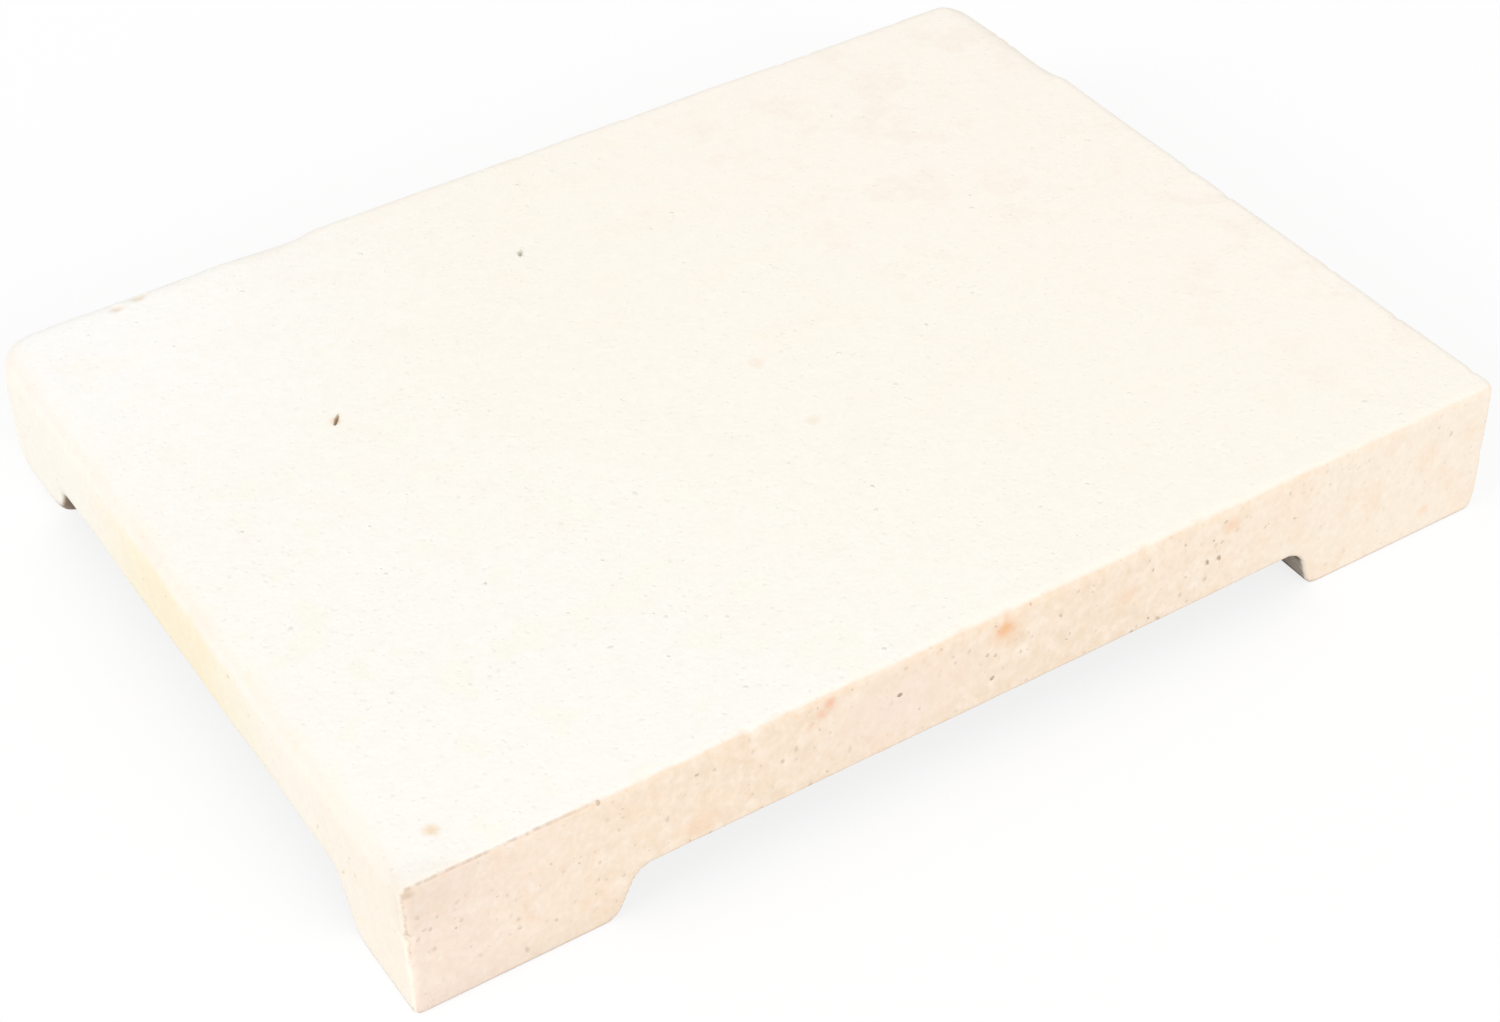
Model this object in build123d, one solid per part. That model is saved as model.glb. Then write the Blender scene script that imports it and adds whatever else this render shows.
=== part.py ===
from build123d import *
import os

# A footed soldering block: one slab of pressed and fired clay. The top is a flat work face. Underneath, two
# wide and shallow channels cross, and leave a short foot at each corner that keeps the hot slab off the bench.
# Millimetres and degrees, +Z up. The origin is in the middle of the rectangle that the feet stand on, level
# with their soles, and X runs along the long side. The front is -Y and the left end is -X.

# Slab
block_length = 200.0
block_width = 150.0
block_height = 25.5

# Feet: lengths run along X and widths along Y, from the slab's outer face to the line where the leaning flank
# would meet the floor. The channels were pressed a little off the middle, so the feet differ, and the flanks
# of the right feet stand steeper than the rest.
left_foot_length = 32.9
right_foot_length = 36.9
front_foot_width = 18.2
back_foot_width = 20.1
foot_height = 8.3
left_draft = 26.0
right_draft = 16.0
front_draft = 26.0
back_draft = 26.0
foot_corner_radius = 6.0
root_fillet_radius = 4.3

# Inner edges of the soles, which use has rubbed to different radii
front_left_sole_radius = 3.4
front_right_sole_radius = 2.3
back_right_sole_radius = 2.0
back_left_sole_radius = 2.0

# Upright corners of the slab, which use has rubbed to different radii
front_left_corner_radius = 1.1
front_right_corner_radius = 1.6
back_right_corner_radius = 4.5
back_left_corner_radius = 5.0

# Eased edges round the work face, and round the foot of the outer faces
top_edge_radius = 0.9
lower_edge_radius = 0.5

# How far the cutter of the channels runs out past the slab's outer faces
cutter_overrun = 20.0

# How far a face may be out of plumb, as the Z part of its normal, and still count as upright
plumb_tolerance = 1e-6

# The slab's quarters in order round its outline: the sides along X and Y, and the radii of corner and sole
quarters = [
    (-1, -1, front_left_corner_radius, front_left_sole_radius),
    (1, -1, front_right_corner_radius, front_right_sole_radius),
    (1, 1, back_right_corner_radius, back_right_sole_radius),
    (-1, 1, back_left_corner_radius, back_left_sole_radius),
]


def upright(face):
    """True for a face that stands straight up, as all of the slab's outer faces do."""
    return abs(face.normal_at().Z) < plumb_tolerance


def in_order(edges):
    """The edges in a fixed order, from the lowest coordinates up, so that every build rounds them alike."""
    return sorted(edges, key=lambda edge: [round(value, 3) for value in edge.center()])


def slab():
    """The plain slab, with its corners rubbed round."""
    corners = [(x * block_length / 2, y * block_width / 2) for x, y, _, _ in quarters]
    radii = [corner_radius for _, _, corner_radius, _ in quarters]
    with BuildPart() as plain:
        with BuildSketch():
            with BuildLine():
                FilletPolyline(*corners, radius=radii, close=True)
            make_face()
        extrude(amount=block_height)
    return plain.part


def channel(plane, start, end, start_draft, end_draft, reach):
    """One channel's cutter: a profile between start and end that narrows upwards, run out both ways."""
    with BuildPart() as cutter:
        with BuildSketch(plane):
            with Locations((start, 0)):
                Trapezoid(end - start, foot_height, 90 - start_draft, 90 - end_draft, align=Align.MIN)
        extrude(amount=reach, both=True)
    return cutter.part


def crossed_channels():
    """Both channels as one cutter: widest at the soles, with leaning flanks and a rounded ceiling."""
    left = left_foot_length - block_length / 2
    right = block_length / 2 - right_foot_length
    front = front_foot_width - block_width / 2
    back = block_width / 2 - back_foot_width
    with BuildPart() as channels:
        add(channel(Plane.XZ, left, right, left_draft, right_draft, block_width / 2 + cutter_overrun))
        add(channel(Plane.YZ, front, back, front_draft, back_draft, block_length / 2 + cutter_overrun))
        leaning_edges = channels.edges().group_by(Axis.Z)[1]
        middle = ((left + right) / 2, (front + back) / 2, foot_height / 2)
        fillet(in_order(leaning_edges.sort_by_distance(middle)[:4]), foot_corner_radius)
        fillet(in_order(channels.edges().group_by(Axis.Z)[-1]), root_fillet_radius)
    return channels.part


def soldering_block():
    """The slab with its channels cut, its soles rubbed and its outer edges eased."""
    with BuildPart() as block:
        add(slab())
        add(crossed_channels(), mode=Mode.SUBTRACT)

        inner_faces = block.faces().filter_by(upright, reverse=True)
        soles = inner_faces.group_by(Axis.Z)[0]
        sole_edges = (inner_faces - soles).edges().group_by(Axis.Z)[0]
        for x, y, _, sole_radius in quarters:
            foot_edges = [edge for edge in sole_edges if edge.center().X * x > 0 and edge.center().Y * y > 0]
            fillet(in_order(foot_edges), sole_radius)

        rim = block.faces().filter_by(upright).edges().filter_by(Axis.Z, reverse=True)
        fillet(in_order(rim.filter_by_position(Axis.Z, 0, block_height, (True, False))), lower_edge_radius)
        fillet(in_order(block.edges().group_by(Axis.Z)[-1]), top_edge_radius)
    return block.part


os.makedirs("parts", exist_ok=True)
export_step(soldering_block(), "parts/soldering_block.step")
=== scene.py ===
import math
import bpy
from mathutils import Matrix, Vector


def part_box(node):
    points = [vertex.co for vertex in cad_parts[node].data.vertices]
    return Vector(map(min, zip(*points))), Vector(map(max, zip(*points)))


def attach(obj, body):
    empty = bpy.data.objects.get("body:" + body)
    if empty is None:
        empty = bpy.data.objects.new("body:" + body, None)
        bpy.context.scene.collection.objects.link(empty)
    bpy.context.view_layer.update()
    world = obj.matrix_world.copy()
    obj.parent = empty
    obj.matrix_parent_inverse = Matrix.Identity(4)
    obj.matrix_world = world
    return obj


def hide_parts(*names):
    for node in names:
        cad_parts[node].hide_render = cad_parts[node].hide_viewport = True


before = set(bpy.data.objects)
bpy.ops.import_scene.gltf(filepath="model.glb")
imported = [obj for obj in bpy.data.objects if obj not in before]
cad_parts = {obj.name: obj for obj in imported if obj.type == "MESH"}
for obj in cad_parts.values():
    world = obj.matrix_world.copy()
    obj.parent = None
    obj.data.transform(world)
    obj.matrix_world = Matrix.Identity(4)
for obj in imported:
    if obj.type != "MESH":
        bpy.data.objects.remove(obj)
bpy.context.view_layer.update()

from types import SimpleNamespace

import bmesh
import bpy
import numpy as np
from bpy.props import FloatProperty, FloatVectorProperty, IntProperty, PointerProperty
from mathutils import Matrix, Vector, noise
from mathutils.bvhtree import BVHTree

bl_info = {
    "name": "Soldering block",
    "version": (1, 0, 0),
    "blender": (4, 5, 0),
    "location": "View3D > Sidebar > Soldering block",
    "description": "Dresses the soldering block as rubbed and speckled fired clay, and sets its stage",
    "category": "Object",
}

# Lengths in this file are metres, as in the frame. Marks on the clay are listed in millimetres.
MM = 0.001

# Names in the frame
BLOCK = "soldering_block"
BODY = "root"

# The lowest and highest corner of the slab
LOW, HIGH = (np.array(corner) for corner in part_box(BLOCK))

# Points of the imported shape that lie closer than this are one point
MERGE_DISTANCE = 0.001 * MM

# Up to this height a face that looks down belongs to a sole, which stays flat
SOLE_DEPTH = 2.0 * MM

# The channels underneath, in millimetres: their middle along X and Y, and their half width at the floor
CHANNEL_MIDDLE = (-2.0, -0.95)
CHANNEL_REACH = (65.1, 55.85)

# Edges that use has rubbed softer than the rest: where each starts and ends, in millimetres, how far from its
# line the rubbing reaches, and how much of it there is
RUBBED_EDGES = [
    ("left", (-100, -66, 25.5), (-100, 72, 25.5), 9.0, 0.75),
    ("left, below", (-100, -50, 8.3), (-100, 50, 8.3), 4.0, 0.35),
    ("far left foot, outer edge", (-100, 75, 0), (-100, 55, 0), 6.0, 0.75),
    ("back", (-40, 75, 25.5), (100, 75, 25.5), 3.0, 0.12),
    ("back, left end", (-96, 75, 25.5), (-45, 75, 25.5), 6.5, 0.45),
    ("right", (100, -75, 25.5), (100, 75, 25.5), 3.0, 0.06),
    ("right, back end", (100, 45, 25.5), (100, 72, 25.5), 6.5, 0.55),
    ("front", (-70, -75, 25.5), (100, -75, 25.5), 2.5, 0.05),
    ("front, middle", (-5, -75, 25.5), (55, -75, 25.5), 3.0, 0.12),
    ("right foot, outer corner", (100, -75, -1), (100, -75, 1), 2.5, 0.10),
]

# Chips in the edges: middle in millimetres, radius and depth
CHIPS = [
    ("near upright edge", (-100, -75, 15.2), 1.5, 0.45),
    ("near upright edge, above", (-100, -75, 20.3), 1.0, 0.22),
    ("near upright edge, below", (-100, -75, 9.4), 1.1, 0.25),
    ("back edge", (-78.4, 71.6, 25.3), 1.6, 0.30),
    ("back edge, beside", (-74.0, 72.6, 25.3), 1.6, 0.30),
    ("front edge", (-68.8, -75, 25.5), 0.8, 0.25),
]

# Pits in the work face: middle, half width and half length in millimetres, turn from X in degrees, depth and
# colour
PITS = [
    ("green pit", (-13.37, 46.95), 0.38, 0.95, 59.0, 0.40, (0.66, 0.65, 0.56)),
    ("brown pit", (-60.97, 22.54), 0.31, 1.32, 54.0, 0.50, (0.50, 0.38, 0.27)),
]

# Dark grains that stand out: middle in millimetres, length, width, and tone from pale to dark
NOTED_GRAINS = [
    ("front, below the streak", (-17.9, -75, 18.6), 1.0, 0.8, 0.80),
    ("front, middle, low", (-0.9, -75, 13.1), 0.9, 0.8, 0.60),
    ("front, middle, left", (-2.0, -75, 18.4), 0.8, 0.7, 0.30),
    ("front, middle, right", (-0.5, -75, 17.6), 0.8, 0.7, 0.28),
    ("front, right", (43.6, -75, 22.9), 0.8, 0.7, 0.25),
    ("front edge", (-68.8, -75, 25.0), 0.8, 0.7, 0.45),
    ("front, near the left", (-91.5, -75, 14.9), 0.9, 0.7, 0.15),
    ("front, near the left, low", (-82.8, -75, 7.9), 0.9, 0.7, 0.20),
    ("front, at the near edge", (-97.1, -75, 16.3), 0.9, 0.6, 0.20),
    ("front, at the near edge, low", (-98.2, -75, 15.0), 0.8, 0.6, 0.20),
    ("front, right run, top", (56.7, -75, 22.4), 0.9, 0.5, 0.15),
    ("front, right run, low", (58.3, -75, 16.7), 0.9, 0.5, 0.20),
    ("work face, middle", (19.2, -20.3, 25.5), 0.9, 0.8, 0.10),
    ("work face, left of the middle", (-30.5, -20.6, 25.5), 1.0, 0.8, 0.08),
    ("work face, front", (-51.7, -49.0, 25.5), 1.1, 0.7, 0.12),
    ("work face, front, middle", (-33.8, -52.9, 25.5), 0.8, 0.7, 0.08),
    ("work face, front, left", (-41.4, -47.8, 25.5), 0.9, 0.7, 0.08),
    ("work face, front, right", (-1.5, -44.9, 25.5), 0.9, 0.7, 0.08),
    ("work face, left", (-89.1, -18.9, 25.5), 1.1, 0.8, 0.06),
    ("work face, back", (59.5, 14.0, 25.5), 1.0, 0.7, 0.12),
    ("work face, right", (79.1, -66.6, 25.5), 0.9, 0.8, 0.10),
]

# Stains that heat and iron have left: middle in millimetres, reach along X, Y and Z, strength, and colour
RUST = (0.90, 0.47, 0.20)
BRICK_RED = (0.90, 0.43, 0.27)
TAN = (0.86, 0.63, 0.38)
PINK = (0.950, 0.790, 0.685)
DULL_BROWN = (0.78, 0.64, 0.52)
UMBER = (0.46, 0.34, 0.22)
STAINS = [
    ("front, pink middle", (-18.0, -75, 16.5), (21.0, 8.0, 11.0), 0.72, PINK),
    ("front, orange", (1.2, -75, 22.2), (2.2, 3.0, 2.3), 0.66, RUST),
    ("front, orange halo", (1.6, -75, 21.4), (4.6, 5.0, 4.6), 0.30, RUST),
    ("front, red streak", (-30.2, -75, 23.5), (1.5, 3.0, 2.2), 0.62, BRICK_RED),
    ("front, red streak, low", (-31.7, -75, 22.1), (1.4, 3.0, 1.6), 0.40, BRICK_RED),
    ("front, red streak, tail", (-33.6, -75, 20.4), (1.2, 3.0, 1.4), 0.22, BRICK_RED),
    ("front, right", (45.0, -75, 21.6), (2.8, 3.0, 2.4), 0.38, RUST),
    ("front, right of the middle", (24.5, -75, 17.0), (3.2, 3.0, 2.8), 0.22, RUST),
    ("right foot, low", (87.5, -75, 4.6), (1.7, 2.0, 1.7), 0.26, RUST),
    ("front, low", (-52.5, -75, 11.0), (4.6, 3.0, 3.2), 0.19, RUST),
    ("front, near corner", (-97.0, -75, 22.0), (15.0, 6.0, 9.0), 0.28, DULL_BROWN),
    ("top of the near corner", (-98.9, -75, 24.3), (1.7, 1.1, 1.5), 0.50, UMBER),
    ("work face, near corner", (-90.9, -67.1, 25.5), (1.9, 2.0, 1.5), 0.70, TAN),
    ("work face, middle", (2.9, -20.7, 25.5), (2.0, 2.0, 1.5), 0.24, TAN),
    ("work face, behind it", (3.6, -2.8, 25.5), (2.2, 2.2, 1.5), 0.15, RUST),
    ("back edge", (-78.4, 71.4, 25.2), (2.0, 1.5, 2.0), 0.45, TAN),
    ("back edge, beside", (-74.0, 72.4, 25.2), (2.0, 1.5, 2.0), 0.55, TAN),
    ("rim of the brown pit", (-61.2, 22.3, 25.5), (1.3, 1.7, 1.5), 0.45, RUST),
]

# Lamps: azimuth and elevation in degrees as seen from the block, and each one's share of the lamps' level
LAMPS = [
    ("front_softbox", -2.0, 24.0, 0.95),
    ("left_softbox", -90.0, 24.0, 0.93),
    ("back_softbox", 180.0, 10.0, 0.4),
    ("right_softbox", 90.0, 10.0, 0.4),
]

# Wear of the slab: shifts that keep the noises apart, shares of the rubbing and of the nicks, and how
# squarely a sole faces down
RUB_SHIFT, WAVE_SHIFT, RIPPLE_SHIFT = 29.0, 3.0, 17.0
RUB_LEAST, RUB_SPREAD = 0.4, 1.2
LONG_EDGE_NICKS, TOP_EDGE_NICKS, SMALLEST_NICK = 0.5, 0.85, 0.35
SOLE_TURN, SOLE_SHARPNESS = -0.999, 2

# Pits: how far round one the grid is divided and the press is worked out, in half lengths, and its uneven rim
PIT_GRID_REACH, PIT_PRESS_REACH = 1.6, 3.0
PIT_RIM_LENGTH = 0.9 * MM
PIT_RIM_SHARE = 0.35
PIT_ROUNDNESS = 3

# Turns: the part of the surface's normal at which a finish of the clay starts, and at which it is full
WORK_FACE_TURN = (0.46, 0.94)
LEFT_END_TURN = (0.25, -0.30)
UNDERSIDE_TURN = (-0.12, -0.45)
EDGE_TURN = (0.96, 0.80)
SOFT_EDGE_TURNS = {"X": (-0.2, -0.4), "Z": (0.1, 0.4)}

# Stretches: the place in millimetres where a finish starts and where it is full, and its share before and
# after, where that isn't 0 and 1
# Painted light: where the work face's paler colour runs over the left edge
PALE_RUN_MIDDLE, PALE_RUN = -25.0, (32.0, 6.0, 0.42, 0.56)
DULL = (-62.0, -97.0, 0.0, 0.9)
# Painted light: the sides turn paler towards +X, where light falls on the front more strongly
PALE = (5.0, 88.0, 0.0, 0.88)
MIDDLE_TINT = (42.0, 8.0)
NEAR_END = (-12.0, -70.0, 0.0, 0.55)
LOW_GRIME = {"Z": (7.0, 1.0), "X": (-50.0, -75.0)}
NEAR_CORNER = {"X": (-62.0, -82.0), "Y": (-45.0, -65.0), "Z": (8.0, 17.0)}
# The next four settings are painted shade, which darkens the flanks of the channels underneath where the
# block shades them
FLANK_SHADE_STRETCH = (-90.0, 60.0, 0.76, 0.98)
FLANK_SHADE_RIM = (0.15, 0.9)
FLANK_SHADE_DEPTH = (16.0, 38.0, 1.0, 0.28)
FLANK_SHADE_OVERLAP = (1.5, -0.5)
SMOOTH_END = (40.0, 85.0, 1.0, 0.6)
BLOTCHED_MIDDLE, BLOTCHED = -10.0, (75.0, 30.0)

# Shares: how much of a finish there is outside its place and in it, or one value for all of it
ROSY_SHARES, YELLOW_SHARE = (0.08, 0.38), 0.35
# The second share is painted shade, even along all edges, which takes out their highlight
LOW_GRIME_SHARE, EDGE_SHADE_SHARE = 0.09, 0.03
RAGGED_SHARES = (0.12, 0.44)
LEFT_END_GRAIN = (1.0, 0.3)
BLOTCHED_SHARES, CROWDED_SHARES = (0.08, 0.23), (0.85, 1.35)
GRAIN_SHARES, CLUMP_SHARE = (0.04, 0.15), 0.05
GATHERED_SHARES, WORK_FACE_FLECKS = (0.4, 1.2), (0.17, 0.29)

# Cloudy patches: length in millimetres, and where in the noise a patch starts and is full
ROSY_PATCH = (10.0, 0.50, 0.66)
YELLOW_PATCH = (9.0, 0.53, 0.68)
RAGGED_PATCH = (1.4, 0.40, 0.62)
GATHERED_PATCH = (10.0, 0.38, 0.66)
GRAIN_PATCH = (0.6, 0.35, 0.70)

# Cloudy patches of the sides, each with its strength and its colour
SIDE_PATCHES = [
    ((7.0, 0.48, 0.66), 0.35, "peach"),
    ((4.5, 0.50, 0.70), 0.35, "pale_side"),
    ((3.0, 0.50, 0.68), 0.28, "pink"),
]

# The work face's corner that is rubbed white: middle and reach in millimetres, and strength
WORN_CORNER = ((-100, 75, 25), (95, 75, 60), 0.85)

# The way across the work face, from the near left to the far right, and where along it the colour changes
DIAGONAL = (0.0075, 0.0045, 0.0)
FAR_RIGHT, NEAR_LEFT = (-0.25, 0.85), (0.0, -0.8)

# Painted shade on the rounded top edges that face against each axis, which takes out their highlight, and its
# parts of red, green and blue
LIT_EDGE_SHADE = {"X": 0.13, "Y": 0.09}
LIT_EDGE_SHADE_TINT = (1.3, 2.0, 2.5)

# Fine grain and clumps: lengths in millimetres, detail, the noise's middle, and the parts of each colour
GRAIN_LENGTH, GRAIN_DETAIL, CLUMP_LENGTH = 0.9, 4.0, 2.2
UPRIGHT_STRETCH = (1.0, 1.0, 0.75)
CLOUD_MIDDLE = 0.52
CLOUD_TINT = (0.6, 1.0, 1.5)
NOISE_ROUGHNESS = 0.55

# Layers of flecks: spacing and radius in millimetres, the share of places that have one, and strength
FLECK_LAYERS = [(1.5, 0.52, 0.9, 0.58), (2.4, 0.66, 0.9, 0.72)]

# A fleck's form: length and reach of its uneven rim and the size of its core, in radii, and its smallest size
FLECK_RIM_LENGTH, FLECK_RIM_REACH, FLECK_CORE, SMALLEST_FLECK = 2.2, 1.7, 0.15, 0.25

# Frayed rims of the work face's painted paleness and of the stains: length in millimetres, and how far they
# fray
PALE_FRAY_LENGTH, PALE_FRAY = 6.0, 0.3
STAIN_FRAY_LENGTH, STAIN_FRAY = 1.6, 0.8

# Burnt pits: depth of the burn's middle, its reach in half sizes, its height and frayed rim, and the shares
# between which it turns from clay to burnt
BURN_DEPTH, BURN_REACH, BURN_HEIGHT, BURN_FRAY_LENGTH = 0.4, 2.0, 3.0, 0.5
BURN_SHARES = (0.2, 0.55)

# Matt surface of the clay and its grains
PORE_DEPTH, PORE_STRENGTH, PORE_HEIGHT = 0.5, 0.5, 0.2 * MM
GRAIN_RANGE, CLAY_ROUGHNESS, GRAIN_ROUGHNESS = (0.2, 0.8), (0.82, 0.98), (0.80, 0.95)
SHEEN = 0.25

# Scattered grains: turns that count as on top and as underneath, and how sizes and tones are spread
TOP_TURN, UNDER_TURN = 0.7, -0.3
SIZE_SPREAD, TONE_SPREAD = 2.0, 2.2
TOP_GRAIN_SIZES, GRAIN_LENGTHS = (1.0, 1.3), (1.0, 1.7)
DARKEST_TONES = (0.40, 0.09)
GRAIN_CLOUD = 0.25
NOTED_GRAIN_TURN = 0.8

# Nearest that the camera sees, in metres
CLIP_START = 0.01


# Helpers for the settings

def length_setting(name, description, millimetres):
    """A setting for a length."""
    return FloatProperty(
        name=name, description=description, default=millimetres * MM, unit="LENGTH", precision=5)


def angle_setting(name, description, degrees):
    """A setting for an angle."""
    return FloatProperty(name=name, description=description, default=math.radians(degrees), subtype="ANGLE")


def number_setting(name, description, number):
    """A setting for a level, a share or a density."""
    return FloatProperty(name=name, description=description, default=number)


def count_setting(name, description, count):
    """A setting for a whole number."""
    return IntProperty(name=name, description=description, default=count)


def colour_setting(name, description, *parts):
    """A setting for a colour, from its parts of red, green and blue."""
    return FloatVectorProperty(name=name, description=description, default=parts, subtype="COLOR")


# Settings

class SlabSizes(bpy.types.PropertyGroup):
    """Sizes of the slab's wear."""

    grid: length_setting("Grid", "Spacing of the points that the wear is worked on", 0.6)
    triangles: count_setting("Triangles", "How many triangles the finished slab is thinned to", 180000)
    rub_passes: count_setting("Rub passes", "How often the softest edges are rubbed down", 60)
    rub_length: length_setting("Rub length", "Length of the stretches that are rubbed more and less", 13)
    wave_height: length_setting("Wave height", "Depth of the long waves left by pressing and firing", 0.22)
    wave_length: length_setting("Wave length", "Length of those waves", 38)
    ripple_height: length_setting("Ripple height", "Depth of the short ripples of a rubbed surface", 0.10)
    ripple_length: length_setting("Ripple length", "Length of those ripples", 5)
    nicks: count_setting("Nicks", "Small nicks scattered along the edges", 46)
    nick_radius: length_setting("Nick radius", "Radius of the largest nick", 1.3)
    nick_depth: length_setting("Nick depth", "Depth of the deepest nick", 0.3)
    pit_cuts: count_setting("Pit cuts", "How often the grid is divided round a pit", 3)
    seed: count_setting("Seed", "Seed of the nicks' places", 7)


class GrainSizes(bpy.types.PropertyGroup):
    """Sizes of the grains scattered over the clay."""

    work_face_density: number_setting(
        "Work face density", "Grains on a square metre of the work face", 3200.0)
    side_density: number_setting("Side density", "Grains on a square metre of the sides", 8000.0)
    smallest: length_setting("Smallest", "Half the width of the smallest grain", 0.12)
    largest: length_setting("Largest", "Half the width of the largest grain", 0.30)
    thickness: number_setting("Thickness", "A grain's thickness as a share of its width", 0.18)
    seed: count_setting("Seed", "Seed of the grains' places", 11)


class ClayColours(bpy.types.PropertyGroup):
    """Colours of the fired clay."""

    # Painted light: the work face is paler than the sides because light falls on it most strongly
    work_face: colour_setting("Work face", "Painted paler work face", 0.988, 0.949, 0.859)
    work_face_pale: colour_setting(
        "Pale work face", "The work face towards the near left corner", 0.982, 0.958, 0.900)
    work_face_rosy: colour_setting(
        "Rosy work face", "The work face towards the far right corner", 0.994, 0.939, 0.853)
    worn_white: colour_setting(
        "Worn white", "The work face's far left corner, rubbed white", 0.990, 0.984, 0.962)
    side: colour_setting("Side", "Buff sides", 0.945, 0.795, 0.640)
    dull_side: colour_setting(
        "Dull side", "Greyer stretch of the front beside the near corner", 0.930, 0.785, 0.675)
    pale_side: colour_setting("Pale side", "Paler stretches of the sides", 0.972, 0.865, 0.735)
    # Painted light: the left end is paler than the buff sides because light falls on it more strongly
    left_end: colour_setting("Left end", "Cream left end", 0.982, 0.942, 0.855)
    tint: colour_setting("Middle tint", "Yellow flash in the middle of the left end", 0.980, 0.888, 0.684)
    pink: colour_setting("Pink", "Pink mottling", 0.975, 0.860, 0.760)
    peach: colour_setting("Peach", "Peach mottling of the sides", 0.955, 0.745, 0.560)
    yellow: colour_setting("Yellow", "Yellow mottling", 0.960, 0.950, 0.780)
    speck: colour_setting("Speck", "Specks in the clay", 0.47, 0.33, 0.23)
    grime: colour_setting("Grime", "Grey grime low on the near foot", 0.46, 0.40, 0.35)
    pale_grain: colour_setting("Pale grain", "The palest grains of the sides", 0.88, 0.755, 0.605)
    dark_grain: colour_setting("Dark grain", "The darkest grains of the sides", 0.34, 0.20, 0.115)
    pale_ash: colour_setting("Pale ash", "The palest grains of the work face", 0.895, 0.875, 0.815)
    dark_ash: colour_setting("Dark ash", "The darkest grains of the work face", 0.40, 0.36, 0.30)
    # Painted shade: the flanks underneath are darkened in colour where the block shades them
    flank_shade: colour_setting("Painted shade", "Soot on the flanks underneath", 0.265, 0.19, 0.135)


class StageSettings(bpy.types.PropertyGroup):
    """Camera, floor and lamps."""

    lens: number_setting("Lens", "Focal length in millimetres", 69.41)
    azimuth: angle_setting("Azimuth", "Turn of the camera round the block", -31.61)
    elevation: angle_setting("Elevation", "Height of the camera above the horizon", 40.01)
    roll: angle_setting("Roll", "Tilt of the camera about its line of sight", -1.553)
    distance: length_setting("Distance", "From the camera to the point it looks at", 494.1)
    aim: FloatVectorProperty(
        name="Aim", description="The point the camera looks at",
        default=(0.60 * MM, -4.28 * MM, -3.96 * MM), unit="LENGTH", precision=5)
    ambient: number_setting("Ambient", "Level of the light from all round", 0.565)
    lamp_level: number_setting("Lamp level", "Level of a lamp's light on a surface that faces it", 0.54)
    lamp_distance: length_setting("Lamp distance", "From the lamps to the block", 3000)
    lamp_size: length_setting("Lamp size", "Width of a lamp", 1800)
    floor_size: length_setting("Floor size", "Width of the floor", 12000)
    floor_gap: length_setting("Floor gap", "How far the floor lies under the soles, to keep them apart", 0.03)
    floor_bounce: number_setting("Floor bounce", "Share of the light that the floor throws back", 0.50)
    shadow: number_setting("Shadow", "How much of the block's shadow shows on the floor", 0.20)


# Helpers for meshes

def new_piece(name, mesh):
    """A new object in the scene, at the origin, with its place in its mesh."""
    piece = bpy.data.objects.new(name, mesh)
    bpy.context.scene.collection.objects.link(piece)
    return piece


def settled_mesh(piece):
    """The piece's mesh with its modifiers worked in."""
    depsgraph = bpy.context.evaluated_depsgraph_get()
    return bpy.data.meshes.new_from_object(piece.evaluated_get(depsgraph))


def read_vectors(collection, name):
    """One vector for each item of a mesh's collection, as rows."""
    values = np.empty(len(collection) * 3, np.float32)
    collection.foreach_get(name, values)
    return values.reshape(-1, 3).astype(float)


def write_points(mesh, points):
    """Moves the mesh's points."""
    mesh.vertices.foreach_set("co", points.astype(np.float32).ravel())
    mesh.update()


def distance_to_line(points, start, end):
    """How far each point lies from the line between start and end."""
    run = end - start
    along = np.clip((points - start) @ run / (run @ run), 0, 1)
    return np.linalg.norm(points - start - along[:, None] * run, axis=1)


def bump_shape(distance, radius):
    """1 at the middle, falling smoothly to 0 at the radius."""
    return np.clip(1 - (distance / radius) ** 2, 0, 1) ** 2


def ripples(points, length, shift):
    """Smooth noise from 0 to 1 with waves of about that length."""
    places = points / length + shift
    return 0.5 + 0.5 * np.array([noise.noise(place) for place in places])


# The slab

def even_grid(grid):
    """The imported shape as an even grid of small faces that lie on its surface."""
    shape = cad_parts[BLOCK].data.copy()
    merged = bmesh.new()
    merged.from_mesh(shape)
    bmesh.ops.remove_doubles(merged, verts=merged.verts, dist=MERGE_DISTANCE)
    merged.to_mesh(shape)
    merged.free()
    form = new_piece("clay_form", shape)
    draft = new_piece("clay_draft", shape)
    remesh = draft.modifiers.new("grid", "REMESH")
    remesh.mode = "VOXEL"
    remesh.voxel_size = grid
    wrap = draft.modifiers.new("wrap", "SHRINKWRAP")
    wrap.target = form
    wrap.wrap_method = "NEAREST_SURFACEPOINT"
    mesh = settled_mesh(draft)
    bpy.data.objects.remove(draft)
    bpy.data.objects.remove(form)
    return mesh


def rub_edges(points, links, slab):
    """Rubs the soft edges: each pass moves a point towards the middle of its neighbours."""
    rubbing = np.zeros(len(points))
    for _, start, end, reach, amount in RUBBED_EDGES:
        distance = distance_to_line(points, np.array(start) * MM, np.array(end) * MM)
        rubbing = np.maximum(rubbing, amount * bump_shape(distance, reach * MM))
    stretches = RUB_LEAST + RUB_SPREAD * ripples(points, slab.rub_length, RUB_SHIFT)
    rubbing = np.clip(rubbing * stretches, 0, 1)
    first, second = links.T
    neighbours = np.bincount(links.ravel(), minlength=len(points))[:, None]
    for _ in range(slab.rub_passes):
        sums = [
            np.bincount(first, points[second, axis], len(points))
            + np.bincount(second, points[first, axis], len(points))
            for axis in range(3)
        ]
        points = points + rubbing[:, None] * (np.stack(sums, axis=1) / neighbours - points)
    return points


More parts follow.
